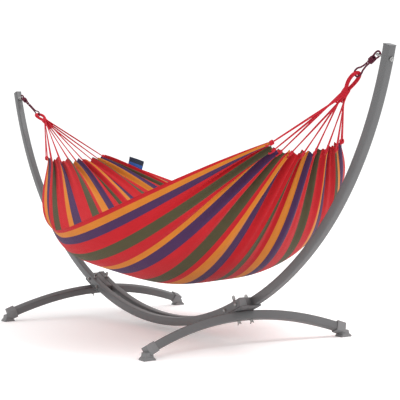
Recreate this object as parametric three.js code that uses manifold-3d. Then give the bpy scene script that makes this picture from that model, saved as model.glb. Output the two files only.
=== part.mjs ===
// A hammock on a stand. Two long bent tubes lie side by side through the middle and rise to the tips,
// two arched legs carry them, and a striped fabric hangs between the tips on ropes and clew cords.
// Millimetres, +Z up. The origin is on the ground under the middle; the arms run along X, the legs along Y.
import * as THREE from 'three';
import { mergeVertices } from 'three/addons/utils/BufferGeometryUtils.js';
import Module from 'manifold-3d';

const wasm = await Module();
wasm.setup();

// ---- driving dimensions --------------------------------------------------------------------------
const GAP = 0.3;
const INNER_GAP = 1.1; // on the arms' inner faces, which are straight runs a little inside the bend

// arms: bent tubes. Each half of the curve is three bends, from the middle up to the tip
const ARM_BENDS = [[500, 1820], [700, 1720], [897, 1475]];
const ARM_LENGTH = 2097;
const ARM_MIDDLE_Z = 44.8;
const ARM_DEPTH = 38;
const ARM_WIDTH = 32;
const ARM_Y = 31;
const ARM_WALL = 2;
const ARM_CORNER = 5;
const ARM_INNER_END = 735;
const ARM_STEPS = 30;

// legs: arched tubes that lean outward, square to the arms where they meet
const LEG_BENDS = [[300, 1150], [190, 1500]];
const LEG_HALF = 490;
const LEG_SIZE = 36;
const LEG_AT = 676;
const LEG_STEPS = 12;

// brackets
const SADDLE_THICK = 7;
const SADDLE_WIDTH = 94;
const SADDLE_REACH = 72;
const SPACER_FROM = 575;
const SPACER_TO = 733;
const BOLT_RADIUS = 4;
const CLAMP_AT = [612, 704];

// feet
const SLEEVE_SIZE = 44;
const SLEEVE_LENGTH = 42;
const PAD_LENGTH = 52;
const PAD_WIDTH = 48;
const PAD_HEIGHT = 13;

// hooks
const HOOK_DOWN = 45;
const EYE_RADIUS = 14;
const EYE_WIRE = 3.5;

// hammock
const ROPE_DIAMETER = 7;
const CORD_DIAMETER = 5;
const CORDS_PER_END = 9;
const LOOP_LENGTH = 92;
const LOOP_TUBE = 12;
const NECK_RADIUS = 15;
const NECK_LENGTH = 26;
const TIE_RIGHT = [1447, 8, 1083];
const TIE_LEFT = [-1376, -6, 1040];
const NECK_RIGHT = [1383, 0, 1016];
const NECK_LEFT = [-1293, 0, 999];

const BED_MIDDLE_X = 115;
const BED_HALF_LENGTH = 985;
const BED_THICK = 4;
const BED_STEPS_ALONG = 20;
const BED_STEPS_ACROSS = 12;

// ---- materials -----------------------------------------------------------------------------------
const GREY = { color: 0x8a8a8a, roughness: 0.45, metalness: 0.3 };
const PLASTIC = { color: 0x777779, roughness: 0.6, metalness: 0 };
const ZINC = { color: 0xb4b4b2, roughness: 0.35, metalness: 0.9 };
const MAROON = { color: 0x5a142d, roughness: 0.8, metalness: 0 };
const CRIMSON = { color: 0xbe1428, roughness: 0.8, metalness: 0 };
const STRIPES = { color: 0xb4202a, roughness: 0.9, metalness: 0, side: THREE.DoubleSide };
const BLUE = { color: 0x16346e, roughness: 0.7, metalness: 0 };

// ---- helpers -------------------------------------------------------------------------------------
function toSolid(geometry) {
  const plain = geometry.clone();
  plain.deleteAttribute('normal');
  plain.deleteAttribute('uv');
  const merged = mergeVertices(plain, 1e-4);
  const vertProperties = new Float32Array(merged.attributes.position.array);
  const triVerts = new Uint32Array(merged.index.array);
  return new wasm.Manifold(new wasm.Mesh({ numProp: 3, vertProperties, triVerts }));
}

function toGeometry(solid) {
  const mesh = solid.getMesh();
  const geometry = new THREE.BufferGeometry();
  geometry.setAttribute('position', new THREE.BufferAttribute(mesh.vertProperties, 3));
  geometry.setIndex(new THREE.BufferAttribute(mesh.triVerts, 1));
  return geometry;
}

function cut(geometry, tools) {
  return toGeometry(tools.reduce((body, tool) => body.subtract(toSolid(tool)), toSolid(geometry)));
}

function join(geometries) {
  return toGeometry(geometries.map(toSolid).reduce((body, other) => body.add(other)));
}

function named(name, geometry, look) {
  const mesh = new THREE.Mesh(geometry, new THREE.MeshStandardMaterial(look));
  mesh.name = name;
  return mesh;
}

// A point on a chain of bends that starts level: distance along, drop or rise, and the slope there
function alongBends(bends, distance) {
  const reach = Math.abs(distance);
  let x = 0;
  let z = 0;
  let angle = 0;
  let left = reach;
  for (const [length, radius] of bends) {
    const turn = Math.min(left, length) / radius;
    x += radius * (Math.sin(angle + turn) - Math.sin(angle));
    z += radius * (Math.cos(angle) - Math.cos(angle + turn));
    angle += turn;
    left -= Math.min(left, length);
  }
  x += left * Math.cos(angle);
  z += left * Math.sin(angle);
  const side = Math.sign(distance);
  return { x: side * x, z, angle: side * angle };
}

class ArmCurve extends THREE.Curve {
  constructor(from, to) {
    super();
    this.from = from;
    this.to = to;
  }

  getPoint(t, target = new THREE.Vector3()) {
    const p = alongBends(ARM_BENDS, this.from + (this.to - this.from) * t);
    return target.set(p.x, 0, ARM_MIDDLE_Z + p.z);
  }
}

class LegCurve extends THREE.Curve {
  getPoint(t, target = new THREE.Vector3()) {
    const p = alongBends(LEG_BENDS, LEG_HALF * (2 * t - 1));
    return target.set(0, p.x, -p.z);
  }
}

function roundedRectangle(width, depth, corner) {
  const shape = new THREE.Shape();
  const x = width / 2 - corner;
  const y = depth / 2 - corner;
  shape.absarc(x, y, corner, 0, Math.PI / 2);
  shape.absarc(-x, y, corner, Math.PI / 2, Math.PI);
  shape.absarc(-x, -y, corner, Math.PI, 1.5 * Math.PI);
  shape.absarc(x, -y, corner, 1.5 * Math.PI, 2 * Math.PI);
  shape.closePath();
  return shape;
}

function rectanglePath(width, depth) {
  const x = width / 2;
  const y = depth / 2;
  return new THREE.Path([[x, y], [-x, y], [-x, -y], [x, -y]].map(([a, b]) => new THREE.Vector2(a, b)));
}

// A hollow tube along a curve that lies in one plane; the section's width is square to that plane
function tubeAlong(curve, width, depth, steps) {
  const section = roundedRectangle(width, depth, ARM_CORNER);
  section.holes.push(rectanglePath(width - 2 * ARM_WALL, depth - 2 * ARM_WALL));
  return new THREE.ExtrudeGeometry(section, { extrudePath: curve, steps, curveSegments: 1 });
}

// A cylinder between two points
function rod(from, to, radius, sides = 10) {
  const a = new THREE.Vector3(...from);
  const b = new THREE.Vector3(...to);
  const geometry = new THREE.CylinderGeometry(radius, radius, a.distanceTo(b), sides);
  const turn = new THREE.Quaternion().setFromUnitVectors(new THREE.Vector3(0, 1, 0), b.clone().sub(a).normalize());
  geometry.applyQuaternion(turn);
  const middle = a.add(b).multiplyScalar(0.5);
  geometry.translate(middle.x, middle.y, middle.z);
  return geometry;
}

// A group whose X axis lies along the arm at a distance from the middle, with Z square to it
function frameOnArm(distance) {
  const p = alongBends(ARM_BENDS, distance);
  const group = new THREE.Group();
  group.position.set(p.x, 0, ARM_MIDDLE_Z + p.z);
  group.rotation.y = -p.angle;
  group.updateMatrix();
  return group;
}

function placed(geometry, frame) {
  return geometry.clone().applyMatrix4(frame.matrix);
}

// ---- arms ----------------------------------------------------------------------------------------
function armHoles() {
  const holes = [];
  for (const distance of CLAMP_AT) {
    for (const side of [-1, 1]) {
      holes.push(placed(rod([0, -80, 0], [0, 80, 0], BOLT_RADIUS + GAP), frameOnArm(side * distance)));
    }
  }
  for (const side of [-1, 1]) {
    const hole = rod([0, ARM_Y, -60], [0, ARM_Y, 60], BOLT_RADIUS + GAP);
    holes.push(placed(hole, frameOnArm(side * LEG_AT)));
  }
  const hook = rod([0, ARM_Y, -60], [0, ARM_Y, 60], BOLT_RADIUS + GAP);
  holes.push(placed(hook, frameOnArm(ARM_LENGTH - HOOK_DOWN)));
  return holes;
}

function armTube() {
  const tube = tubeAlong(new ArmCurve(-ARM_INNER_END, ARM_LENGTH), ARM_WIDTH, ARM_DEPTH, ARM_STEPS);
  tube.translate(0, ARM_Y, 0);
  return cut(tube, armHoles());
}

// A lid on the end of the tube with a plug inside it
function endCap(lid) {
  const plate = new THREE.BoxGeometry(lid, ARM_WIDTH, ARM_DEPTH);
  plate.translate(lid / 2 + GAP, 0, 0);
  const plug = new THREE.BoxGeometry(14, ARM_WIDTH - 2 * ARM_WALL - 2, ARM_DEPTH - 2 * ARM_WALL - 2);
  plug.translate(GAP + 1 - 7, 0, 0);
  return join([plate, plug]);
}

function armCap(name, distance, lid) {
  const group = frameOnArm(distance);
  const cap = named(name, endCap(lid), PLASTIC);
  cap.position.y = ARM_Y;
  if (distance < 0) cap.rotation.y = Math.PI;
  group.add(cap);
  return group;
}

// ---- legs and feet -------------------------------------------------------------------------------
const LEG_DROP = ARM_DEPTH / 2 + SADDLE_THICK + LEG_SIZE / 2 + 2 * GAP;

function legTube() {
  const tube = tubeAlong(new LegCurve(), LEG_SIZE, LEG_SIZE, LEG_STEPS);
  const holes = [-1, 1].map((side) => rod([0, side * ARM_Y, -60], [0, side * ARM_Y, 60], BOLT_RADIUS + GAP));
  return cut(tube, holes);
}

// The solid outline of a leg, for the pocket that it sits in
function legCore(size) {
  const section = new THREE.Shape(rectanglePath(size, size).getPoints());
  return new THREE.ExtrudeGeometry(section, { extrudePath: new LegCurve(), steps: LEG_STEPS });
}

// The sleeve that the tube ends in, square to the tube, as a box around its end
function footSleeve(size, from, to, frame) {
  const box = new THREE.BoxGeometry(size, to - from, size);
  box.translate(0, (from + to) / 2, 0);
  return placed(box, frame);
}

// A block with an outline drawn from the side, Y along and Z up, and a width along X
function sideBlock(outline, width, middle) {
  const shape = new THREE.Shape(outline.map(([a, b]) => new THREE.Vector2(a, b)));
  const block = new THREE.ExtrudeGeometry(shape, { depth: width, bevelEnabled: false });
  block.applyMatrix4(new THREE.Matrix4().makeBasis(
    new THREE.Vector3(0, 1, 0), new THREE.Vector3(0, 0, 1), new THREE.Vector3(1, 0, 0)));
  block.translate(middle.x - width / 2, middle.y, 0);
  return block;
}

// The pad: a wide flared sole on the ground with a narrower neck up to the sleeve
function footPad(middle) {
  const half = PAD_LENGTH / 2;
  const sole = [[-half, 0], [half, 0], [half, 5], [half - 7, PAD_HEIGHT], [-half + 7, PAD_HEIGHT], [-half, 5]];
  const neck = [[-half + 7, 5], [half - 7, 5], [half - 12, 30], [-half + 9, 36]];
  return [sideBlock(sole, PAD_WIDTH, middle), sideBlock(neck, SLEEVE_SIZE - 4, middle)];
}

function footGeometry(legFrame) {
  const end = alongBends(LEG_BENDS, LEG_HALF);
  const local = new THREE.Matrix4().makeRotationX(-end.angle);
  local.setPosition(0, end.x, -end.z);
  const frame = { matrix: legFrame.matrix.clone().multiply(local) };
  const tip = new THREE.Vector3().setFromMatrixPosition(frame.matrix);
  const middle = new THREE.Vector3(tip.x + 4, tip.y + 6, 0);
  const sleeve = footSleeve(SLEEVE_SIZE, -SLEEVE_LENGTH + 8, 8, frame);
  const pocket = placed(legCore(LEG_SIZE + 1.2), legFrame);
  const pocketEnd = footSleeve(LEG_SIZE + 1.2, -2, 0.6, frame);
  const below = new THREE.BoxGeometry(400, 400, 100);
  below.translate(tip.x, tip.y, -50);
  return cut(join([sleeve, ...footPad(middle)]), [pocket, pocketEnd, below]);
}

// ---- bracket pieces ------------------------------------------------------------------------------
// A bar that follows the arms' bend, from one depth under their centre line to a lower one
function barOnArm(width, top, bottom, from, to, steps) {
  const x = width / 2;
  const section = new THREE.Shape([[x, top], [-x, top], [-x, bottom], [x, bottom]].map(
    ([a, b]) => new THREE.Vector2(a, b)));
  return new THREE.ExtrudeGeometry(section, { extrudePath: new ArmCurve(from, to), steps });
}

function spacerGeometry() {
  const half = ARM_DEPTH / 2 - 1;
  const bar = barOnArm(2 * ARM_Y - ARM_WIDTH - 2 * GAP, -half, half, SPACER_FROM, SPACER_TO, 4);
  return cut(bar, CLAMP_AT.map((s) => placed(rod([0, -80, 0], [0, 80, 0], BOLT_RADIUS + GAP), frameOnArm(s))));
}

function saddleGeometry() {
  const from = LEG_AT - SADDLE_REACH;
  const to = LEG_AT + SADDLE_REACH;
  const top = ARM_DEPTH / 2 + GAP;
  const bar = barOnArm(SADDLE_WIDTH, top, top + SADDLE_THICK, from, to, 6);
  const frame = frameOnArm(LEG_AT);
  return cut(bar, [-1, 1].map((side) => placed(
    rod([0, side * ARM_Y, -80], [0, side * ARM_Y, 80], BOLT_RADIUS + GAP), frame)));
}

// A bolt along +Y: a round head at the origin, the shank behind it
function boltGeometry(headRadius, headHeight, length) {
  const profile = [[0, -headHeight], [headRadius * 0.6, -headHeight], [headRadius, -headHeight * 0.4],
    [headRadius, 0], [BOLT_RADIUS, 0], [BOLT_RADIUS, length], [0, length]];
  return new THREE.LatheGeometry(profile.map(([r, y]) => new THREE.Vector2(r, y)), 10);
}

// A saddle bolt has an oval finger plate on its head, to turn it by hand
function handBoltGeometry(length) {
  const plate = new THREE.CylinderGeometry(8, 8, 4, 14);
  plate.scale(1, 1, 1.4);
  plate.rotateZ(Math.PI / 2);
  plate.rotateX(Math.PI / 2);
  plate.translate(0, -15, 0);
  return join([boltGeometry(8, 6, length), plate]);
}

function nutGeometry(radius, height) {
  const shape = new THREE.Shape();
  for (let i = 0; i < 6; i += 1) {
    const angle = i * Math.PI / 3;
    const corner = [radius * Math.cos(angle), radius * Math.sin(angle)];
    if (i === 0) shape.moveTo(...corner);
    else shape.lineTo(...corner);
  }
  shape.closePath();
  const bore = new THREE.Path();
  bore.absarc(0, 0, BOLT_RADIUS + GAP, 0, 2 * Math.PI);
  shape.holes.push(bore);
  return new THREE.ExtrudeGeometry(shape, { depth: height, bevelEnabled: false, curveSegments: 5 });
}

// A wing nut along Z: a round hub with two ears
function wingNutGeometry() {
  const ears = new THREE.Shape([[-6, 0], [-15, 14], [-11, 16], [-3, 7], [3, 7], [11, 16], [15, 14], [6, 0]].map(
    ([a, b]) => new THREE.Vector2(a, b)));
  const wings = new THREE.ExtrudeGeometry(ears, { depth: 3, bevelEnabled: false });
  wings.translate(0, 0, -1.5);
  wings.rotateX(Math.PI / 2);
  const hub = new THREE.CylinderGeometry(6, 7.5, 8, 10);
  hub.rotateX(Math.PI / 2);
  hub.translate(0, 0, 4);
  return cut(join([hub, wings]), [rod([0, 0, -5], [0, 0, 30], BOLT_RADIUS + GAP)]);
}

// Everything that fastens one bracket, for the right-hand end
function bracket(side) {
  const group = new THREE.Group();
  const outer = ARM_Y + ARM_WIDTH / 2 + GAP;
  CLAMP_AT.forEach((distance, i) => {
    const frame = frameOnArm(distance);
    const bolt = named(`${side}_clamp_bolt_${i + 1}`, boltGeometry(8, 6, 2 * outer + 11), ZINC);
    bolt.position.y = -outer;
    const nut = named(`${side}_clamp_nut_${i + 1}`, nutGeometry(8, 7), ZINC);
    nut.rotation.x = -Math.PI / 2;
    nut.position.y = outer;
    frame.add(bolt, nut);
    group.add(frame);
  });
  const frame = frameOnArm(LEG_AT);
  const top = ARM_DEPTH / 2 + INNER_GAP;
  const bottom = LEG_DROP + LEG_SIZE / 2 + GAP;
  [-1, 1].forEach((place, i) => {
    const bolt = named(`${side}_saddle_bolt_${i + 1}`, handBoltGeometry(top + bottom + 12), ZINC);
    bolt.rotation.x = -Math.PI / 2;
    bolt.position.set(0, place * ARM_Y, top);
    const nut = named(`${side}_wing_nut_${i + 1}`, wingNutGeometry(), ZINC);
    nut.rotation.x = Math.PI;
    nut.position.set(0, place * ARM_Y, -bottom - 1.2);
    frame.add(bolt, nut);
  });
  group.add(frame);
  return group;
}

// ---- hooks ---------------------------------------------------------------------------------------
function eyeHookGeometry() {
  const inner = ARM_DEPTH / 2 + INNER_GAP;
  const shank = rod([0, 0, -ARM_DEPTH / 2 - 10], [0, 0, inner + 4], BOLT_RADIUS);
  const collar = rod([0, 0, inner], [0, 0, inner + 4], 7);
  const eye = new THREE.TorusGeometry(EYE_RADIUS, EYE_WIRE, 6, 16);
  eye.rotateY(Math.PI / 2);
  eye.translate(0, 0, inner + 3 + EYE_WIRE + EYE_RADIUS);
  return join([shank, collar, eye]);
}

function hook(side) {
  const frame = frameOnArm(ARM_LENGTH - HOOK_DOWN);
  const eye = named(`${side}_eye_hook`, eyeHookGeometry(), ZINC);
  eye.position.y = ARM_Y;
  const nut = named(`${side}_eye_hook_nut`, nutGeometry(9, 8), ZINC);
  nut.rotation.x = Math.PI;
  nut.position.set(0, ARM_Y, -ARM_DEPTH / 2 - GAP);
  frame.add(eye, nut);
  return frame;
}

// ---- one half of the stand -----------------------------------------------------------------------
// The right half; the left one is the same half turned round by 180 degrees about the upright axis
function standHalf(side, other) {
  const half = new THREE.Group();
  half.add(named(`${side}_arm`, armTube(), GREY));
  half.add(armCap(`${side}_arm_top_cap`, ARM_LENGTH, 3));
  half.add(armCap(`${side}_arm_end_cap`, -ARM_INNER_END, 4));
  half.add(named(`${side}_spacer`, spacerGeometry(), GREY));
  half.add(named(`${side}_saddle`, saddleGeometry(), GREY));
  const apex = frameOnArm(LEG_AT);
  const leg = new THREE.Group();
  leg.matrix.copy(apex.matrix).multiply(new THREE.Matrix4().makeTranslation(0, 0, -LEG_DROP));
  half.add(named(`${side}_leg`, placed(legTube(), leg), GREY));
  const foot = footGeometry(leg);
  half.add(named(`${side}_foot_back`, foot, PLASTIC));
  const front = named(`${side}_foot_front`, toGeometry(toSolid(foot).mirror([0, 1, 0])), PLASTIC);
  half.add(front);
  half.add(bracket(side), hook(side));
  return half;
}

// ---- hammock -------------------------------------------------------------------------------------
const RIGHT_HOOK = hookPoint(1);
const LEFT_HOOK = hookPoint(-1);

// The middle of the wire that a rope hangs on, at the far side of the eye
function hookPoint(side) {
  const reach = ARM_DEPTH / 2 + INNER_GAP + 3 + EYE_WIRE + 2 * EYE_RADIUS;
  const point = new THREE.Vector3(0, ARM_Y, reach).applyMatrix4(frameOnArm(ARM_LENGTH - HOOK_DOWN).matrix);
  return [side * point.x, side * point.y, point.z];
}

// A frame with X from one point towards another, Y level and Z square to both
function frameBetween(from, to) {
  const a = new THREE.Vector3(...from);
  const x = new THREE.Vector3(...to).sub(a).normalize();
  const y = new THREE.Vector3(0, 0, 1).cross(x).normalize();
  const z = x.clone().cross(y);
  return { matrix: new THREE.Matrix4().makeBasis(x, y, z).setPosition(a) };
}

function roundTube(points, diameter, steps, sides, frame) {
  const curve = new THREE.CatmullRomCurve3(points.map((p) => new THREE.Vector3(...p)));
  const section = new THREE.Shape();
  section.absarc(0, 0, diameter / 2, 0, 2 * Math.PI);
  const tube = new THREE.ExtrudeGeometry(section, { extrudePath: curve, steps, curveSegments: sides / 2 });
  return placed(tube, frame);
}

// A doubled rope: from its knot to the hook's wire, back to the end loop and up to the knot again
function ropeGeometry(hookAt, tieAt) {
  const length = new THREE.Vector3(...hookAt).distanceTo(new THREE.Vector3(...tieAt));
  const points = [
    [length * 0.42, 0, 4.4], [22, 0, 6.5], [7, 0, 10], [-6, 0, 8.5], [-10.5, 0, 0], [-6, 0, -8.5],
    [7, 0, -10], [22, 0, -6.5], [length * 0.42, 0, -4.4], [length - 26, 0, -7], [length - 8, 0, -13.5],
    [length + 8, 0, -12], [length + 14.5, 0, 0], [length + 8, 0, 12], [length - 8, 0, 13.5],
    [length - 26, 0, 7], [length * 0.42 + 9, 0, 4.4],
  ];
  return roundTube(points, ROPE_DIAMETER, 44, 8, frameBetween(hookAt, tieAt));
}

// The wrapped loop that the clew cords gather into: a ring on a short neck
function endLoopGeometry(tieAt, neckAt) {
  const frame = frameBetween(neckAt, tieAt);
  const half = [[-4, 6], [18, 9], [40, 17], [64, 21], [84, 16]];
  const points = [
    ...half.map(([x, y]) => [x, -y, 0]), [LOOP_LENGTH, 0, 0], ...half.reverse().map(([x, y]) => [x, y, 0])];
  const ring = roundTube(points, LOOP_TUBE, 24, 8, frame);
  const neck = placed(rod([-NECK_LENGTH / 2, 0, 0], [NECK_LENGTH / 2, 0, 0], NECK_RADIUS, 16), frame);
  return join([ring, neck]);
}

// The hanging fabric. along runs from -1 at the left hem to 1 at the right one, across from -1 at the
// front selvedge to 1 at the back one
function bulge(along, shift, power, sharp) {
  const t = along - shift * (1 - along * along);
  return Math.max(0, 1 - Math.abs(t) ** power) ** sharp;
}

function mix(left, right, along) {
  return left + (right - left) * (along + 1) / 2;
}

function bedPoint(along, across) {
  const halfWidth = 162 + (585 - 162) * bulge(along, 0.155, 2.0, 1.2);
  const corner = mix(800, 846, along);
  const hem = mix(775, 806, along);
  const selvedge = corner - (corner - 492) * bulge(along, 0.025, 1.55, 1.2);
  const belly = hem - (hem - 238) * bulge(along, 0.23, 1.9, 1.25);
  const angle = across * Math.PI / 2;
  const spread = Math.sign(across) * Math.abs(Math.sin(angle)) ** (1.2 - 0.15 * along);
  const sink = Math.max(0, Math.cos(angle)) ** (0.8 - 0.05 * along);
  return new THREE.Vector3(
    BED_MIDDLE_X + (BED_HALF_LENGTH + 40 * across * across) * along,
    halfWidth * spread,
    selvedge - (selvedge - belly) * sink,
  );
}

function bedNormal(along, across) {
  const e = 1e-3;
  const da = bedPoint(Math.min(1, along + e), across).sub(bedPoint(Math.max(-1, along - e), across));
  const dc = bedPoint(along, Math.min(1, across + e)).sub(bedPoint(along, Math.max(-1, across - e)));
  return da.cross(dc).normalize();
}

// A thin closed shell: an upper and a lower skin with walls round the edge
function bedGeometry() {
  const rows = BED_STEPS_ALONG + 1;
  const columns = BED_STEPS_ACROSS + 1;
  const positions = [];
  for (const offset of [BED_THICK / 2, -BED_THICK / 2]) {
    for (let i = 0; i < rows; i += 1) {
      for (let j = 0; j < columns; j += 1) {
        const along = 2 * i / BED_STEPS_ALONG - 1;
        const across = 2 * j / BED_STEPS_ACROSS - 1;
        const point = bedPoint(along, across).addScaledVector(bedNormal(along, across), offset);
        positions.push(point.x, point.y, point.z);
      }
    }
  }
  const lower = rows * columns;
  const at = (i, j) => i * columns + j;
  const index = [];
  const quad = (a, b, c, d) => index.push(a, b, c, a, c, d);
  for (let i = 0; i < rows - 1; i += 1) {
    for (let j = 0; j < columns - 1; j += 1) {
      quad(at(i, j), at(i + 1, j), at(i + 1, j + 1), at(i, j + 1));
      quad(lower + at(i, j), lower + at(i, j + 1), lower + at(i + 1, j + 1), lower + at(i + 1, j));
    }
  }
  for (let i = 0; i < rows - 1; i += 1) {
    quad(at(i, 0), lower + at(i, 0), lower + at(i + 1, 0), at(i + 1, 0));
    quad(at(i + 1, columns - 1), lower + at(i + 1, columns - 1), lower + at(i, columns - 1), at(i, columns - 1));
  }
  for (let j = 0; j < columns - 1; j += 1) {
    quad(at(0, j + 1), lower + at(0, j + 1), lower + at(0, j), at(0, j));
    quad(at(rows - 1, j), lower + at(rows - 1, j), lower + at(rows - 1, j + 1), at(rows - 1, j + 1));
  }
  const geometry = new THREE.BufferGeometry();
  geometry.setAttribute('position', new THREE.Float32BufferAttribute(positions, 3));
  geometry.setIndex(index);
  return geometry;
}

// One doubled clew cord, from its place in the neck's end to its place on the hem
function clewCordGeometry(neckFrame, end, index) {
  const across = -0.96 + 1.92 * index / (CORDS_PER_END - 1);
  const pitch = CORD_DIAMETER + 2;
  const column = Math.floor(index / 3) - 1;
  const row = index % 3 - 1;
  const start = new THREE.Vector3(-NECK_LENGTH / 2 - 2, end * column * pitch, row * pitch);
  start.applyMatrix4(neckFrame.matrix);
  const hem = bedPoint(end, across);
  const run = hem.clone().sub(start);
  const stop = hem.clone().addScaledVector(run.normalize(), -4);
  return rod(start.toArray(), stop.toArray(), CORD_DIAMETER / 2, 8);
}

function labelGeometry() {
  const along = -0.81;
  const edge = bedPoint(along, 1);
  const run = bedPoint(along + 0.02, 1).sub(bedPoint(along - 0.02, 1)).normalize();
  const plate = new THREE.BoxGeometry(92, 3, 44);
  const side = new THREE.Vector3(0, 0, 1).cross(run).normalize();
  const up = run.clone().cross(side);
  plate.applyMatrix4(new THREE.Matrix4().makeBasis(run, side, up));
  plate.translate(edge.x + up.x * 26, edge.y + 2, edge.z + up.z * 26);
  return plate;
}

// ---- the whole object ----------------------------------------------------------------------------
const group = new THREE.Group();
group.add(standHalf('right'));
const leftHalf = standHalf('left');
leftHalf.rotation.z = Math.PI;
group.add(leftHalf);

group.add(named('right_rope', ropeGeometry(RIGHT_HOOK, TIE_RIGHT), MAROON));
group.add(named('left_rope', ropeGeometry(LEFT_HOOK, TIE_LEFT), MAROON));
group.add(named('right_end_loop', endLoopGeometry(TIE_RIGHT, NECK_RIGHT), CRIMSON));
group.add(named('left_end_loop', endLoopGeometry(TIE_LEFT, NECK_LEFT), CRIMSON));
for (let index = 0; index < CORDS_PER_END; index += 1) {
  const right = clewCordGeometry(frameBetween(NECK_RIGHT, TIE_RIGHT), 1, index);
  const left = clewCordGeometry(frameBetween(NECK_LEFT, TIE_LEFT), -1, index);
  group.add(named(`right_clew_cord_${index + 1}`, right, CRIMSON));
  group.add(named(`left_clew_cord_${index + 1}`, left, CRIMSON));
}
group.add(named('hammock_bed', bedGeometry(), STRIPES));
group.add(named('label', labelGeometry(), BLUE));

export default group;
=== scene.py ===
# %% [markdown]
# # A hammock on a stand
# Two bent steel tubes lie side by side through the middle and rise to the tips. Two arched legs carry
# them. A striped cotton cloth hangs between the tips on ropes and clew cords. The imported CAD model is
# loaded first. Its bodies carry every piece here, and most pieces take the place of a CAD node.

# %% Load the frame
import math

import bmesh
import bpy
from mathutils import Matrix, Vector


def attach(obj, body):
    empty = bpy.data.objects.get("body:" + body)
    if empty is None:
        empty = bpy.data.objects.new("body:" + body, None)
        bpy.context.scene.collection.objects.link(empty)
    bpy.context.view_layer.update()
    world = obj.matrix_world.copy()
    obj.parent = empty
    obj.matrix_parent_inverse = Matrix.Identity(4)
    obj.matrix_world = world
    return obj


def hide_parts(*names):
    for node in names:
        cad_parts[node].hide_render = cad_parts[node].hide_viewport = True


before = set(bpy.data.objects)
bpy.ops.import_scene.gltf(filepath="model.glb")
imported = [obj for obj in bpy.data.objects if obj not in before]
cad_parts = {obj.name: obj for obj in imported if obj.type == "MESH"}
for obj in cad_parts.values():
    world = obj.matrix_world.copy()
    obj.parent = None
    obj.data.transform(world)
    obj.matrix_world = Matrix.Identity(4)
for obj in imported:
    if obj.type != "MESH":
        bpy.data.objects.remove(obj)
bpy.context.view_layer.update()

# %% [markdown]
# ## The camera
# A long lens low over the ground, looking along the hammock from its right front corner. The matrix is
# made from three directions: right, up and back, with a small lean of the camera about its own axis.

# %% Camera
AZIMUTH = math.radians(59.05)
ELEVATION = math.radians(2.289)
LEAN = math.radians(-1.31)
LENS_MM = 110.1
TARGET = Vector((0.0892, 0.1518, 0.5897))
DISTANCE = 5.6386


def camera_matrix():
    back = Vector((math.sin(AZIMUTH) * math.cos(ELEVATION), -math.cos(AZIMUTH) * math.cos(ELEVATION),
                   math.sin(ELEVATION)))
    right = Vector((math.cos(AZIMUTH), math.sin(AZIMUTH), 0))
    up = back.cross(right)
    leaned_right = right * math.cos(LEAN) + up * math.sin(LEAN)
    leaned_up = up * math.cos(LEAN) - right * math.sin(LEAN)
    turn = Matrix((leaned_right, leaned_up, back)).transposed().to_4x4()
    return Matrix.Translation(TARGET + back * DISTANCE) @ turn


camera_data = bpy.data.cameras.new("camera")
camera_data.lens = LENS_MM
camera_data.sensor_width = 36
camera_data.clip_end = 200
camera = bpy.data.objects.new("camera", camera_data)
camera.matrix_world = camera_matrix()
bpy.context.collection.objects.link(camera)
bpy.context.scene.camera = camera
print("camera at", [round(x, 3) for x in camera.location])

# %% [markdown]
# ## Writing shader maths as sums
# A material is a tree of nodes. `Flow` wraps one output of the tree, so that a sum such as `1 - mask`
# adds the Math node that it needs. `Look` holds one material and makes any other node from its type, its
# settings and what goes into its sockets.


# %% The two shader helpers
class Flow:
    """One output in a node tree, with sums written as Python operators."""

    def __init__(self, look, socket):
        self.look = look
        self.socket = socket

    def sum_of(self, operation, first, second=None):
        inputs = {0: first} if second is None else {0: first, 1: second}
        return self.look.node("ShaderNodeMath", {"operation": operation}, inputs)

    def __add__(self, other):
        return self.sum_of("ADD", self, other)

    __radd__ = __add__

    def __sub__(self, other):
        return self.sum_of("SUBTRACT", self, other)

    def __rsub__(self, other):
        return self.sum_of("SUBTRACT", other, self)

    def __mul__(self, other):
        return self.sum_of("MULTIPLY", self, other)

    __rmul__ = __mul__

    def __gt__(self, other):
        return self.sum_of("GREATER_THAN", self, other)

    def sine(self):
        return self.sum_of("SINE", self)

    def size(self):
        return self.sum_of("ABSOLUTE", self)


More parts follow.
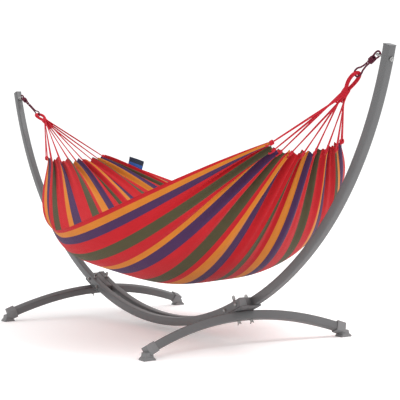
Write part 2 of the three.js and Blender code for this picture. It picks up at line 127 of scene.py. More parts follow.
class Look:
    """One material: a Principled shader whose constants are set on its own sockets."""

    def __init__(self, name, **constants):
        self.material = bpy.data.materials.new(name)
        self.material.use_nodes = True
        self.tree = self.material.node_tree
        self.shader = self.tree.nodes["Principled BSDF"]
        for socket, value in constants.items():
            self.shader.inputs[socket.replace("_", " ")].default_value = value

    def node(self, kind, settings=None, inputs=None, output=0):
        made = self.tree.nodes.new(kind)
        for name, value in (settings or {}).items():
            if name == "stops":
                self.set_stops(made.color_ramp, value)
            elif name == "ramp_interpolation":
                made.color_ramp.interpolation = value
            else:
                setattr(made, name, value)
        for socket, value in (inputs or {}).items():
            if isinstance(value, Flow):
                self.tree.links.new(value.socket, made.inputs[socket])
            else:
                made.inputs[socket].default_value = value
        return Flow(self, made.outputs[output])

    @staticmethod
    def set_stops(ramp, stops):
        while len(ramp.elements) > 1:
            ramp.elements.remove(ramp.elements[-1])
        ramp.elements[0].position = stops[0][0]
        ramp.elements[0].color = (*stops[0][1], 1)
        for place, colour in stops[1:]:
            ramp.elements.new(place).color = (*colour, 1)

    def blend(self, factor, first, second):
        settings = {"data_type": "RGBA"}
        first = first if isinstance(first, Flow) else (*first, 1)
        second = second if isinstance(second, Flow) else (*second, 1)
        return self.node("ShaderNodeMix", settings, {0: factor, 6: first, 7: second}, 2)

    def scaled(self, colour, factor):
        return self.node("ShaderNodeVectorMath", {"operation": "SCALE"}, {0: colour, "Scale": factor})

    def feed(self, socket, flow):
        self.tree.links.new(flow.socket, self.shader.inputs[socket])

    def noise(self, place, scale, detail=3.0):
        return self.node("ShaderNodeTexNoise", {}, {"Vector": place, "Scale": scale, "Detail": detail})

    def object_place(self):
        return self.node("ShaderNodeTexCoord", output=3)

    def flat_place(self, axis):
        """One coordinate of a flat piece's own UV map: 0 runs along it and 1 across."""
        uv = self.node("ShaderNodeUVMap", {"uv_map": "cloth"})
        return self.node("ShaderNodeSeparateXYZ", {}, {0: uv}, axis)

    def bump(self, height, strength, distance):
        inputs = {"Strength": strength, "Distance": distance, "Height": height}
        self.feed("Normal", self.node("ShaderNodeBump", {}, inputs))


print("helpers ready")

# %% [markdown]
# ## Finishes of the stand
# The tubes are powder coated grey: a satin skin with a faint orange-peel, a little uneven in tone. The
# caps and feet are moulded plastic, duller and slightly pebbled. The bolts and hooks are zinc plated.


# %% Stand finishes
def powder_coat():
    look = Look("powder_coat", Metallic=0.1, Specular_IOR_Level=0.4)
    place = look.object_place()
    cloud = look.noise(place, 9.0)
    peel = look.noise(place, 900.0, 2.0)
    look.feed("Base Color", look.blend(cloud, (0.100, 0.100, 0.103), (0.120, 0.120, 0.122)))
    look.feed("Roughness", 0.36 + cloud * 0.12)
    look.bump(peel, 0.12, 0.0004)
    return look.material


def moulded_plastic():
    look = Look("moulded_plastic", Specular_IOR_Level=0.4)
    place = look.object_place()
    grain = look.noise(place, 1400.0, 2.0)
    cloud = look.noise(place, 14.0)
    look.feed("Base Color", look.blend(cloud, (0.15, 0.15, 0.153), (0.18, 0.18, 0.183)))
    look.feed("Roughness", 0.5 + cloud * 0.15)
    look.bump(grain, 0.3, 0.0004)
    return look.material


def zinc_plate():
    look = Look("zinc_plate", Metallic=0.85)
    place = look.object_place()
    spangle = look.node("ShaderNodeTexVoronoi", {}, {"Vector": place, "Scale": 260.0})
    look.feed("Base Color", look.blend(spangle, (0.27, 0.27, 0.27), (0.38, 0.38, 0.37)))
    look.feed("Roughness", 0.28 + spangle * 0.2)
    return look.material


POWDER_COAT = powder_coat()
MOULDED_PLASTIC = moulded_plastic()
ZINC = zinc_plate()
print("stand finishes ready")

# %% [markdown]
# ## The curves of the stand
# Each arm is a chain of bends that meet smoothly, so one function gives the place and the slope at any
# distance from the middle. The same function draws the arch of the legs.

# %% The bends, in metres
ARM_BENDS = ((0.500, 1.820), (0.700, 1.720), (0.897, 1.475))
ARM_LENGTH = sum(length for length, radius in ARM_BENDS)
ARM_INNER_END = 0.735
ARM_MIDDLE_Z = 0.0448
ARM_Y = 0.031
ARM_WIDTH = 0.032
ARM_DEPTH = 0.038
LEG_BENDS = ((0.300, 1.150), (0.190, 1.500))
LEG_SIZE = 0.036
LEG_AT = 0.676
LEG_DROP = ARM_DEPTH / 2 + 0.007 + LEG_SIZE / 2 + 0.0006
TUBE_CORNER = 0.005


def along_bends(bends, distance):
    """Distance along, rise, and slope of a chain of bends that starts level."""
    side = math.copysign(1, distance)
    left = abs(distance)
    x = z = angle = 0.0
    for length, radius in bends:
        turn = min(left, length) / radius
        x += radius * (math.sin(angle + turn) - math.sin(angle))
        z += radius * (math.cos(angle) - math.cos(angle + turn))
        angle += turn
        left -= min(left, length)
    return side * x, z, side * angle


def arm_frame(distance, y=0.0):
    """A matrix with X along the arms and Z square to them, at a distance from the middle."""
    x, z, angle = along_bends(ARM_BENDS, distance)
    return Matrix.Translation((x, y, ARM_MIDDLE_Z + z)) @ Matrix.Rotation(-angle, 4, "Y")


print("arm tip at", [round(v, 4) for v in arm_frame(ARM_LENGTH).translation])

# %% [markdown]
# ## Making pieces
# Every new piece ends the same way: its mesh is put in an object at the origin, gets its finish and its
# smooth shading, rides on a body and stands for the CAD nodes that it replaces.


# %% Finish a piece
def placed_piece(name, data, material, body, replaced):
    """An object at the origin that rides on a body and stands for the CAD nodes it replaces."""
    data.materials.append(material)
    made = bpy.data.objects.new(name, data)
    bpy.context.collection.objects.link(made)
    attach(made, body)
    if replaced:
        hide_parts(*replaced)
    return made


def piece_from(bm, name, material, body, replaced=(), smooth_angle=40):
    mesh = bpy.data.meshes.new(name)
    bm.to_mesh(mesh)
    bm.free()
    mesh.shade_smooth()
    mesh.set_sharp_from_angle(angle=math.radians(smooth_angle))
    return placed_piece(name, mesh, material, body, replaced)


HALF_TURN = Matrix.Rotation(math.pi, 4, "Z")
SIDES = {"right": Matrix.Identity(4), "left": HALF_TURN}

# %% [markdown]
# ## The bent tubes
# A bent tube is made as a bender makes it: a rounded section is carried round one bend after another.
# `bmesh.ops.spin` sweeps the last section about the centre of each bend, and because the bends meet
# smoothly, so do the sweeps. The CAD tube is faceted; this one has a step every 25 mm.

# %% Spin a tube through its bends
BEND_STEP = 0.025


def tube_section(bm, width, depth, matrix):
    """A rounded rectangle across X, with its width along Y, at a matrix."""
    across = Matrix.Diagonal((width, depth, 1, 1))
    upright = Matrix.Rotation(math.pi / 2, 4, "Y") @ Matrix.Rotation(math.pi / 2, 4, "Z")
    bmesh.ops.create_grid(bm, x_segments=1, y_segments=1, size=0.5, matrix=across)
    bmesh.ops.bevel(bm, geom=bm.verts[:], offset=TUBE_CORNER, segments=4, profile=0.5, affect="VERTICES",
                    material=-1)
    bmesh.ops.transform(bm, matrix=matrix @ upright, verts=bm.verts[:])
    return bm.faces[:][0]


def spin_bends(bm, face, bends, start, axis, up):
    """Carries a face round each bend in turn. start is its matrix and up points at the bends' centres."""
    geometry = [face, *face.verts, *face.edges]
    matrix = start.copy()
    for length, radius in bends:
        centre = matrix @ (up * radius)
        angle = length / radius
        swept = bmesh.ops.spin(bm, geom=geometry, cent=centre, axis=axis, angle=angle,
                               steps=max(2, round(length / BEND_STEP)), use_merge=False, use_duplicate=False)
        geometry = swept["geom_last"]
        turn = Matrix.Translation(centre) @ Matrix.Rotation(angle, 4, axis) @ Matrix.Translation(-centre)
        matrix = turn @ matrix


def bent_arm(side):
    bm = bmesh.new()
    start = arm_frame(-ARM_INNER_END, ARM_Y)
    face = tube_section(bm, ARM_WIDTH, ARM_DEPTH, start)
    middle = ARM_BENDS[0]
    chain = ((ARM_INNER_END - middle[0], ARM_BENDS[1][1]), (2 * middle[0], middle[1]), *ARM_BENDS[1:])
    spin_bends(bm, face, chain, start, Vector((0, -1, 0)), Vector((0, 0, 1)))
    bmesh.ops.recalc_face_normals(bm, faces=bm.faces[:])
    bmesh.ops.transform(bm, matrix=SIDES[side], verts=bm.verts[:])
    return piece_from(bm, f"{side}_arm_tube", POWDER_COAT, "stand", [f"{side}_arm"])


def arched_leg(side):
    bm = bmesh.new()
    leg_frame = arm_frame(LEG_AT) @ Matrix.Translation((0, 0, -LEG_DROP))
    half = sum(length for length, radius in LEG_BENDS)
    y, drop, angle = along_bends(LEG_BENDS, -half)
    lean = Matrix.Rotation(-angle, 4, "X")
    across_arms = Matrix.Rotation(math.pi / 2, 4, "Z")
    start = leg_frame @ (Matrix.Translation((0, y, -drop)) @ lean @ across_arms)
    face = tube_section(bm, LEG_SIZE, LEG_SIZE, start)
    chain = (LEG_BENDS[1], (2 * LEG_BENDS[0][0], LEG_BENDS[0][1]), LEG_BENDS[1])
    axis = -(leg_frame.to_3x3() @ Vector((1, 0, 0)))
    spin_bends(bm, face, chain, start, axis, Vector((0, 0, -1)))
    bmesh.ops.recalc_face_normals(bm, faces=bm.faces[:])
    bmesh.ops.transform(bm, matrix=SIDES[side], verts=bm.verts[:])
    return piece_from(bm, f"{side}_leg_tube", POWDER_COAT, "stand", [f"{side}_leg"])


for side in SIDES:
    for tube in (bent_arm(side), arched_leg(side)):
        print(tube.name, len(tube.data.polygons), "faces", [round(v, 3) for v in tube.dimensions])

# %% [markdown]
# ## Caps, feet, plates and fasteners
# These have the right shape in CAD, but perfectly sharp edges. Real ones are moulded or pressed, and
# their edges catch a thin line of light. A copy of each CAD mesh is merged, its flat faces are joined,
# and its sharp edges are bevelled.

# %% Soften the small pieces
SHARP = math.radians(28)


def softened(node, material, width):
    bm = bmesh.new()
    bm.from_mesh(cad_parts[node].data)
    bmesh.ops.remove_doubles(bm, verts=bm.verts[:], dist=2e-5)
    bmesh.ops.dissolve_limit(bm, angle_limit=math.radians(1.5), verts=bm.verts[:], edges=bm.edges[:])
    edges = [e for e in bm.edges if e.is_manifold and e.calc_face_angle(0) > SHARP]
    bmesh.ops.bevel(bm, geom=edges, offset=width, segments=2, profile=0.5, affect="EDGES", material=-1,
                    clamp_overlap=True)
    return piece_from(bm, f"{node}_piece", material, "stand", [node])


def small_pieces(side):
    for end in ("top", "end"):
        yield softened(f"{side}_arm_{end}_cap", MOULDED_PLASTIC, 0.0012)
    for end in ("front", "back"):
        yield softened(f"{side}_foot_{end}", MOULDED_PLASTIC, 0.002)
    for plate in ("spacer", "saddle"):
        yield softened(f"{side}_{plate}", POWDER_COAT, 0.001)
    for fastener in ("clamp_bolt", "clamp_nut", "saddle_bolt", "wing_nut"):
        for number in (1, 2):
            yield softened(f"{side}_{fastener}_{number}", ZINC, 0.0005)
    yield softened(f"{side}_eye_hook", ZINC, 0.0004)
    yield softened(f"{side}_eye_hook_nut", ZINC, 0.0008)


for side in SIDES:
    print(side, "small pieces:", len(list(small_pieces(side))))

# %% [markdown]
# ## The cloth's shape
# The cloth hangs from nine cords at each end. Its two selvedges and its belly sag in their own curves,
# and each cross-section is a rounded trough between them. `along` runs from the left hem to the right
# one and `across` from the front selvedge to the back one, both from -1 to 1.

# %% The hanging surface
BED_MIDDLE_X = 0.115
BED_HALF_LENGTH = 0.985
CORNER_REACH = 0.040
HEM_HALF_WIDTH = 0.162
WIDEST_HALF_WIDTH = 0.585
CORNER_HEIGHTS = (0.800, 0.846)
HEM_HEIGHTS = (0.775, 0.806)
SELVEDGE_LOWEST = 0.492
BELLY_LOWEST = 0.238

# Each curve's shift towards the right hem, its power and its sharpness.
WIDTH_CURVE = (0.155, 2.0, 1.2)
SELVEDGE_CURVE = (0.025, 1.55, 1.2)
BELLY_CURVE = (0.23, 1.9, 1.25)


def bulge(along, shift, power, sharp):
    t = along - shift * (1 - along * along)
    return max(0.0, 1 - abs(t) ** power) ** sharp


def between(left, right, along):
    return left + (right - left) * (along + 1) / 2


def cloth_point(along, across):
    half_width = HEM_HALF_WIDTH + (WIDEST_HALF_WIDTH - HEM_HALF_WIDTH) * bulge(along, *WIDTH_CURVE)
    corner = between(*CORNER_HEIGHTS, along)
    hem = between(*HEM_HEIGHTS, along)
    selvedge = corner - (corner - SELVEDGE_LOWEST) * bulge(along, *SELVEDGE_CURVE)
    belly = hem - (hem - BELLY_LOWEST) * bulge(along, *BELLY_CURVE)
    angle = across * math.pi / 2
    spread = math.copysign(abs(math.sin(angle)) ** (1.2 - 0.15 * along), across)
    sink = max(0.0, math.cos(angle)) ** (0.8 - 0.05 * along)
    x = BED_MIDDLE_X + (BED_HALF_LENGTH + CORNER_REACH * across * across) * along
    return Vector((x, half_width * spread, selvedge - (selvedge - belly) * sink))


def cloth_normal(along, across, step=0.004):
    """Square to the surface, pointing up and in."""
    run = cloth_point(min(1, along + step), across) - cloth_point(max(-1, along - step), across)
    rise = cloth_point(along, min(1, across + step)) - cloth_point(along, max(-1, across - step))
    return run.cross(rise).normalized()


print("lowest point of the cloth", round(cloth_point(0.2, 0).z, 3))

# %% [markdown]
# ## The cloth
# A flat grid is laid over the surface and then moved: near the hems it stands in folds, one under each
# cord, because 1.45 m of cloth is gathered on to a quarter of that. Between the cords the hem hangs in
# shallow scallops, and along each selvedge the cloth curls outwards in a soft lip.
# The grid keeps its flat UV map, so that the stripes follow the cloth. Solidify gives it a thickness.

# %% Pleats, lips and the cloth itself
CORDS_PER_END = 9
EDGE_CORD = 0.96
CORD_SPACING = 2 * EDGE_CORD / (CORDS_PER_END - 1)
FOLD_HEIGHT = 0.014
PLEAT_HEIGHT = 0.0065
SLACK_HEIGHT = 0.005
SCALLOP_DEPTH = 0.014
LIP_WIDTH = 0.060
LIP_LEAN = 0.019
CLOTH_STEPS_ALONG = 150
CLOTH_STEPS_ACROSS = 300
CLOTH_THICKNESS = 0.0014
CLOTH_FLAT = (1.45, 2.35)


def smooth_rise(value):
    value = min(1.0, max(0.0, value))
    return value * value * (3 - 2 * value)


def cord_phase(across):
    """Counts the cords from the front: a whole number where a cord meets the hem."""
    return (across + EDGE_CORD) / CORD_SPACING


def pleat_offset(along, across):
    """A fold under every cord and finer pleats between, both dying away towards the middle."""
    phase = 2 * math.pi * cord_phase(across)
    near_hem = smooth_rise((abs(along) - 0.22) / 0.75) ** 1.3
    fold = FOLD_HEIGHT * math.cos(phase + 0.5 * math.sin(5 * across + 2 * along)) * near_hem
    fine = PLEAT_HEIGHT * math.cos(3 * phase + 1.5 * math.sin(9 * across)) * near_hem ** 2
    slack = SLACK_HEIGHT * math.sin(11 * across + 1.3 * along + 0.7) * (1 - along * along)
    return (slack - fold - fine) * (1 - abs(across) ** 14)


def lip_offset(across):
    """How far the cloth leans out beside its selvedge."""
    return -LIP_LEAN * max(0.0, (abs(across) - (1 - LIP_WIDTH)) / LIP_WIDTH) ** 1.8


def shaped_point(along, across):
    scallop = SCALLOP_DEPTH * math.sin(math.pi * cord_phase(across)) ** 2 * abs(along) ** 10
    place = along * (1 - scallop)
    normal = cloth_normal(place, across)
    lean = lip_offset(across) * (1 - abs(along) ** 5)
    return cloth_point(place, across) + normal * (pleat_offset(along, across) + lean)


def lay_cloth():
    bm = bmesh.new()
    bm.loops.layers.uv.new("cloth")
    bmesh.ops.create_grid(bm, x_segments=CLOTH_STEPS_ALONG, y_segments=CLOTH_STEPS_ACROSS, size=1,
                          calc_uvs=True)
    for vert in bm.verts:
        vert.co = shaped_point(vert.co.x, vert.co.y)
    return bm


print("cord spacing at a hem:", round(CORD_SPACING, 2), "of the half width")

# %% [markdown]
# ## The striped weave
# The stripes run the length of the cloth, five to a repeat: purple, red, olive, red and orange. The warp
# plan counts each one's width in small whole units, two hundred to the cloth, from the front selvedge to
# the back one. Where a stripe lies depends only on the UV map's second coordinate. A fine weave, slight
# fading between threads and a soft sheen make it cotton. The two selvedges are bound in red.

# %% Woven finish
RED = (0.43, 0.006, 0.012)
ORANGE = (0.52, 0.165, 0.016)
PURPLE = (0.052, 0.018, 0.072)
OLIVE = (0.062, 0.054, 0.024)
FRONT_STRIPES = ((RED, 1), (ORANGE, 4), (PURPLE, 6), (RED, 10), (OLIVE, 8), (RED, 10), (ORANGE, 4),
                 (PURPLE, 8), (RED, 11), (OLIVE, 8), (RED, 4), (ORANGE, 8))
STRIPE_REPEAT = ((PURPLE, 7), (RED, 10), (OLIVE, 7), (RED, 7), (ORANGE, 5))
BACK_STRIPES = ((PURPLE, 4), (RED, 6))
THREAD = 0.0016
SELVEDGE_BINDING = 0.007


def warp_plan():
    """Where each stripe starts, as a share of the cloth's width, and its colour."""
    plan = [*FRONT_STRIPES, *STRIPE_REPEAT, *STRIPE_REPEAT, *STRIPE_REPEAT, *BACK_STRIPES]
    total = sum(width for colour, width in plan)
    start = 0
    for colour, width in plan:
        yield start / total, colour
        start += width


def woven_stripes():
    look = Look("woven_stripes", Roughness=0.8, Sheen_Weight=0.06, Sheen_Roughness=0.4,
                Specular_IOR_Level=0.25)
    length_share = look.flat_place(0)
    width_share = look.flat_place(1)
    from_middle = (width_share - 0.5).size()
    settings = {"stops": list(warp_plan()), "ramp_interpolation": "CONSTANT"}
    stripe = look.node("ShaderNodeValToRGB", settings, {0: width_share})
    warp = (width_share * (CLOTH_FLAT[0] / THREAD * math.pi)).sine().size()
    weft = (length_share * (CLOTH_FLAT[1] / THREAD * math.pi)).sine().size()
    place = look.object_place()
    fade = look.noise(place, 14.0)
    slub = look.noise(place, 420.0)
    shade = 0.80 + fade * 0.22 + slub * 0.18
    bound = from_middle > 0.5 - SELVEDGE_BINDING
    colour = look.blend(bound, stripe, RED)
    look.feed("Base Color", look.scaled(colour, shade))
    look.bump(warp * weft + slub * 0.6, 0.25, 0.0008)
    return look.material


WOVEN = woven_stripes()
cloth = piece_from(lay_cloth(), "hammock_cloth", WOVEN, "hammock", ["hammock_bed"], 180)
solid = cloth.modifiers.new("thickness", "SOLIDIFY")
solid.thickness = CLOTH_THICKNESS
solid.offset = 0
print("cloth area", round(sum(face.area for face in cloth.data.polygons), 2), "square metres")

# %% [markdown]
# ## Cord finishes
# The clew cords are braided cotton in crimson; the two suspension ropes are a darker maroon. The braid
# is too fine to model, so a wave and a noise raise its bumps.


# %% Cord finishes
def braided(name, dark, light):
    look = Look(name, Roughness=0.8, Sheen_Weight=0.06, Specular_IOR_Level=0.25)
    place = look.object_place()
    braid = look.node("ShaderNodeTexWave", {"bands_direction": "DIAGONAL"},
                      {"Vector": place, "Scale": 160.0, "Distortion": 2.0, "Detail": 1.0}, 1)
    fuzz = look.noise(place, 800.0)
    look.feed("Base Color", look.blend(braid * 0.7 + fuzz * 0.3, dark, light))
    look.bump(braid + fuzz * 0.4, 0.5, 0.0006)
    return look.material


CRIMSON = braided("crimson_braid", (0.34, 0.004, 0.014), (0.62, 0.010, 0.030))
MAROON = braided("maroon_rope", (0.05, 0.004, 0.014), (0.13, 0.012, 0.035))
print("cord finishes ready")

# %% [markdown]
# ## Ropes, end loops and clew cords
# A cord is a curve object of one spline with a round bevel. The doubled rope hangs on the hook's wire and
# on the end loop. The end loop is the bundle of the clew cords, bent into a ring and whipped with cord
# all round, so the ring is a thick curve with a fine helix wound on it.

# %% The frames of the two ends
NECK_LENGTH = 0.026
LOOP_LENGTH = 0.092
ENDS = {
    "right": {"tie": Vector((1.447, 0.008, 1.083)), "neck": Vector((1.383, 0, 1.016)), "end": 1},
    "left": {"tie": Vector((-1.376, -0.006, 1.040)), "neck": Vector((-1.293, 0, 0.999)), "end": -1},
}
HOOK_DOWN = 0.045
WIRE_REACH = ARM_DEPTH / 2 + 0.0011 + 0.003 + 0.0035 + 0.028


def hook_wire(side):
    place = arm_frame(ARM_LENGTH - HOOK_DOWN, ARM_Y) @ Vector((0, 0, WIRE_REACH))
    return SIDES[side] @ place


def frame_between(start, end):
    """A matrix with X from one point towards another, Y level and Z square to both."""
    x = (end - start).normalized()
    y = Vector((0, 0, 1)).cross(x).normalized()
    z = x.cross(y)
    return Matrix.Translation(start) @ Matrix((x, y, z)).transposed().to_4x4()


def curve_length(points):
    return sum((b - a).length for a, b in zip(points, points[1:]))


def rounded(points, steps=6):
    """A smooth line through given points, by Catmull and Rom's rule."""
    line = []
    for i in range(len(points) - 1):
        before, a, b = points[max(i - 1, 0)], points[i], points[i + 1]
        after = points[min(i + 2, len(points) - 1)]
        for step in range(steps):
            t = step / steps
            line.append(0.5 * (2 * a + (b - before) * t + (2 * before - 5 * a + 4 * b - after) * t * t
                               + (3 * a - before - 3 * b + after) * t ** 3))
    return [*line, points[-1].copy()]


def cord_curve(name, points, diameter, material, body, replaced=()):
    data = bpy.data.curves.new(name, "CURVE")
    data.dimensions = "3D"
    data.bevel_depth = diameter / 2
    data.bevel_resolution = 2
    data.use_fill_caps = True
    spline = data.splines.new("POLY")
    spline.points.add(len(points) - 1)
    for target, point in zip(spline.points, points):
        target.co = (*point, 1)
    spline.use_smooth = True
    return placed_piece(name, data, material, body, replaced)


def wound_round(path, radius, pitch, per_turn=10):
    """A helix wound on a line: points at a radius from it, one turn each pitch."""
    total = curve_length(path)
    count = int(total / pitch * per_turn)
    helix = []
    walked = 0.0
    index = 0
    side = Vector((0, 0, 1))
    for step in range(count + 1):
        goal = total * step / count
        while index < len(path) - 2 and walked + (path[index + 1] - path[index]).length < goal:
            walked += (path[index + 1] - path[index]).length
            index += 1
        run = path[index + 1] - path[index]
        place = path[index] + run.normalized() * (goal - walked)
        side = (side - run.normalized() * side.dot(run.normalized())).normalized()
        other = run.normalized().cross(side)
        angle = 2 * math.pi * step / per_turn
        helix.append(place + side * (radius * math.cos(angle)) + other * (radius * math.sin(angle)))
    return helix


print("hook wires", [[round(v, 3) for v in hook_wire(side)] for side in SIDES])

# %% [markdown]
# ## The suspension ropes
# The route keeps near the CAD rope's: out of the knot, round the hook's wire, back past the knot, round
# the end loop and up again. One more point on each strand holds the two together for longer before they
# part round the loop. The knot is a short tight winding over both strands.

# %% Suspension ropes
ROPE_DIAMETER = 0.007
KNOT_SHARE = 0.42
KNOT_START = 0.020
KNOT_STEP = 0.002
KNOT_RADIUS = 0.0095
KNOT_PITCH = 0.0062
KNOT_CORD = 0.0064


def rope_route(length):
    knot = length * KNOT_SHARE
    return (
        (knot, 0.0044), (0.022, 0.0065), (0.007, 0.010), (-0.006, 0.0085), (-0.0105, 0), (-0.006, -0.0085),
        (0.007, -0.010), (0.022, -0.0065), (knot, -0.0040), (length - 0.040, -0.0042),
        (length - 0.022, -0.0078), (length - 0.008, -0.0135),
        (length + 0.008, -0.012), (length + 0.0145, 0), (length + 0.008, 0.012), (length - 0.008, 0.0135),
        (length - 0.022, 0.0078), (length - 0.040, 0.0042), (knot + 0.009, 0.0040))


def suspension_rope(side):
    wire, tie = hook_wire(side), ENDS[side]["tie"]
    matrix = frame_between(wire, tie)
    length = (tie - wire).length
    points = rounded([matrix @ Vector((x, 0, z)) for x, z in rope_route(length)])
    rope = cord_curve(f"{side}_rope_piece", points, ROPE_DIAMETER, MAROON, f"{side}_sling",
                      [f"{side}_rope"])
    line = [matrix @ Vector((KNOT_START + KNOT_STEP * i, 0, 0)) for i in range(13)]
    winding = wound_round(line, KNOT_RADIUS, KNOT_PITCH)
    knot = cord_curve(f"{side}_rope_knot", winding, KNOT_CORD, MAROON, f"{side}_sling")
    tuple(points[0])
    curve_length(points)
    return curve_length(points)


for side in ENDS:
    print(side, "rope", round(suspension_rope(side), 3), "m")

# %% [markdown]
# ## The end loops
# The ring's line repeats the CAD one. A thick curve is the bundle inside, and a thinner cord is wound
# round it turn by turn. The neck, where the cords leave, has a wider winding of its own.

# %% End loops
WHIPPING = 0.0030
RING_BUNDLE = 0.0122
WHIPPING_PITCH = 0.0032
NECK_BUNDLE = 0.0115
NECK_WHIPPING = 0.004


def end_loop(side):
    end = ENDS[side]
    matrix = frame_between(end["neck"], end["tie"])
    half = ((-0.004, 0.006), (0.018, 0.009), (0.040, 0.017), (0.064, 0.021), (0.084, 0.016))
    outline = [(x, -y) for x, y in half] + [(LOOP_LENGTH, 0)] + [(x, y) for x, y in reversed(half)]
    ring = rounded([matrix @ Vector((x, y, 0)) for x, y in outline])
    cord_curve(f"{side}_end_loop_ring", ring, RING_BUNDLE, CRIMSON, "hammock",
               [f"{side}_end_loop"])
    cord_curve(f"{side}_end_loop_whipping", wound_round(ring, RING_BUNDLE / 2, WHIPPING_PITCH), WHIPPING,
               CRIMSON, "hammock")
    neck = [matrix @ Vector((x, 0, 0)) for x in (-0.014, -0.007, 0, 0.007, 0.014)]
    cord_curve(f"{side}_neck_bundle", neck, 2 * NECK_BUNDLE, CRIMSON, "hammock")
    winding = wound_round(neck, NECK_BUNDLE + 0.001, NECK_WHIPPING, 16)
    cord_curve(f"{side}_neck_whipping", winding, NECK_WHIPPING, CRIMSON, "hammock")
    return len(ring)


for side in ENDS:
    print(side, "end loop ring points", end_loop(side))

# %% [markdown]
# ## The clew cords
# Each cord leaves the neck, runs straight to the hem, turns round it and comes back beside itself. A
# small knot at the hem is wound over both strands, as the whipping is, and the two at the edges are
# bigger. Beside the neck, one more cord is worked to and fro through the fan, and keeps it in order.

# %% Clew cords
CORD_DIAMETER = 0.0054
CORD_PITCH = 0.0074
CORD_TWIN = 0.0058
HEM_KNOT_RADIUS = 0.0050
HEM_KNOT_CORD = 0.0042
EDGE_KNOT_SCALE = 1.45
WEB_DIAMETER = 0.005
WEB_ROWS = 9
WEB_ROW_SHARE = 0.016
WEB_WEAVE = 0.003


def cord_across(index):
    return -EDGE_CORD + CORD_SPACING * index


def cord_ends(side, index):
    """Where a clew cord leaves the neck and where it meets the hem."""
    end = ENDS[side]
    matrix = frame_between(end["neck"], end["tie"])
    column = index // 3 - 1
    row = index % 3 - 1
    start = matrix @ Vector((-NECK_LENGTH / 2 + 0.002, end["end"] * column * CORD_PITCH, row * CORD_PITCH))
    return start, shaped_point(end["end"], cord_across(index))


def clew_cord(side, index):
    end = ENDS[side]
    start, hem = cord_ends(side, index)
    inside = shaped_point(end["end"] * 0.985, cord_across(index))
    run = hem - start
    beside = run.cross(Vector((0, 1, 0))).normalized() * (CORD_TWIN / 2)
    spread = Vector((0, CORD_TWIN * 0.8, 0))
    stations = (0.0, 0.12, 0.3, 0.5, 0.7, 0.88, 0.97)
    down = [start + run * s + beside * min(1, 0.5 + s) - spread * s for s in stations]
    back = [start + run * s - beside * min(1, 0.5 + s) + spread * s for s in reversed(stations)]
    lip = beside.normalized() * 0.006
    turn = [hem + lip - spread, inside + lip * 0.8 - spread, inside - lip * 0.8 + spread, hem - lip + spread]
    points = rounded([*down, *turn, *back], 3)
    cord = cord_curve(f"{side}_clew_cord_{index + 1}_piece", points, CORD_DIAMETER, CRIMSON, "hammock",
                      [f"{side}_clew_cord_{index + 1}"])
    big = EDGE_KNOT_SCALE if index in (0, CORDS_PER_END - 1) else 1.0
    line = [start + run * (0.965 + 0.007 * i) for i in range(6)]
    winding = wound_round(line, HEM_KNOT_RADIUS * big, HEM_KNOT_CORD)
    knot = cord_curve(f"{side}_clew_knot_{index + 1}", winding, HEM_KNOT_CORD * big, CRIMSON, "hammock")
    tuple(points[0])
    curve_length(points)
    return curve_length(points)


def woven_web(side):
    """One cord worked to and fro through the fan beside the neck, furthest down in its middle."""
    points = []
    for row in range(WEB_ROWS):
        order = range(CORDS_PER_END) if row % 2 else reversed(range(CORDS_PER_END))
        for index in order:
            start, hem = cord_ends(side, index)
            depth = 1 - 0.55 * abs(index / 4 - 1)
            over = Vector((0, 0, WEB_WEAVE if (row + index) % 2 else -WEB_WEAVE))
            points.append(start.lerp(hem, 0.02 + WEB_ROW_SHARE * row * depth) + over)
    line = rounded(points, 2)
    web = cord_curve(f"{side}_clew_web", line, WEB_DIAMETER, CRIMSON, "hammock")
    tuple(line[0])
    curve_length(line)
    return curve_length(line)


for side in ENDS:
    print(side, "web", round(woven_web(side), 2), "m of cord")
    lengths = [clew_cord(side, index) for index in range(CORDS_PER_END)]
    print(side, "clew cords", round(min(lengths), 3), "to", round(max(lengths), 3), "m, doubled")

# %% [markdown]
# ## The label
# A small woven label is sewn to the back selvedge and stands up from it. It is plain: a navy band over
# a brighter one, with no lettering. A grid is bent a little and given a thickness.

# %% Label
LABEL_ALONG = -0.81
LABEL_FLAT = (0.092, 0.046)
LABEL_RISE = 0.020
LABEL_BEND = 0.004
LABEL_THICKNESS = 0.0015


def label_finish():
    look = Look("label_weave", Roughness=0.7, Sheen_Weight=0.15)
    height = look.flat_place(1)
    slub = look.noise(look.object_place(), 900.0)
    shade = 0.85 + slub * 0.3
    colour = look.blend(height > 0.45, (0.015, 0.10, 0.42), (0.008, 0.022, 0.055))
    look.feed("Base Color", look.scaled(colour, shade))
    look.bump(slub, 0.3, 0.0005)
    return look.material


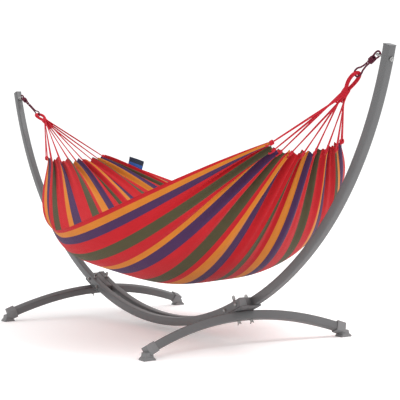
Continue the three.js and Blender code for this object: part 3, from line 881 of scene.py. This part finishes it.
def sewn_label():
    edge = cloth_point(LABEL_ALONG, 1)
    run = (cloth_point(LABEL_ALONG + 0.02, 1) - cloth_point(LABEL_ALONG - 0.02, 1)).normalized()
    side = Vector((0, 0, 1)).cross(run).normalized()
    up = run.cross(side)
    bm = bmesh.new()
    bm.loops.layers.uv.new("cloth")
    bmesh.ops.create_grid(bm, x_segments=18, y_segments=12, size=1, calc_uvs=True)
    for vert in bm.verts:
        x, y = vert.co.x, vert.co.y
        bend = LABEL_BEND * math.sin(2.2 * x + 0.8) * (y + 1) / 2
        rise = LABEL_RISE + LABEL_FLAT[1] / 2 * y
        vert.co = edge + run * (LABEL_FLAT[0] / 2 * x) + up * rise + side * (0.002 + bend)
    label = piece_from(bm, "sewn_label", label_finish(), "hammock", ["label"], 180)
    thick = label.modifiers.new("thickness", "SOLIDIFY")
    thick.thickness = LABEL_THICKNESS
    thick.offset = 0
    return label


print("label stands at", [round(v, 3) for v in cloth_point(LABEL_ALONG, 1)], "as", sewn_label().name)

# %% [markdown]
# ## The floor and the light
# A studio sweep is white all round, so the floor is a wide pale disc under a white sky. It glows a
# little, as a sweep lit from behind does, and that keeps the shadow pale. A large soft light stands high
# on the right. The plain view transform keeps white as white.

# %% Floor and lights
FLOOR_GLOW = 0.2


def studio_floor():
    bm = bmesh.new()
    bmesh.ops.create_circle(bm, cap_ends=True, segments=64, radius=60)
    mesh = bpy.data.meshes.new("studio_floor")
    bm.to_mesh(mesh)
    bm.free()
    look = Look("pale_floor", Roughness=0.9, Specular_IOR_Level=0.1, Emission_Color=(1, 1, 1, 1),
                Emission_Strength=FLOOR_GLOW)
    cloud = look.noise(look.object_place(), 1.5)
    look.feed("Base Color", look.blend(cloud, (0.93, 0.93, 0.93), (0.95, 0.95, 0.95)))
    mesh.materials.append(look.material)
    floor = bpy.data.objects.new("studio_floor", mesh)
    bpy.context.collection.objects.link(floor)


def soft_light(name, place, target, size, power):
    data = bpy.data.lights.new(name, "AREA")
    data.shape = "DISK"
    data.size = size
    data.energy = power
    light = bpy.data.objects.new(name, data)
    light.location = place
    light.rotation_euler = (Vector(place) - Vector(target)).to_track_quat("Z", "Y").to_euler()
    bpy.context.collection.objects.link(light)


def white_world(strength):
    world = bpy.data.worlds.new("studio")
    world.use_nodes = True
    background = world.node_tree.nodes["Background"]
    background.inputs["Color"].default_value = (1, 1, 1, 1)
    background.inputs["Strength"].default_value = strength
    bpy.context.scene.world = world


studio_floor()
white_world(1.12)
bpy.context.scene.view_settings.view_transform = "Standard"
soft_light("key_light", (3.0, 1.5, 5.0), (0, 0, 0.5), 3.0, 150)
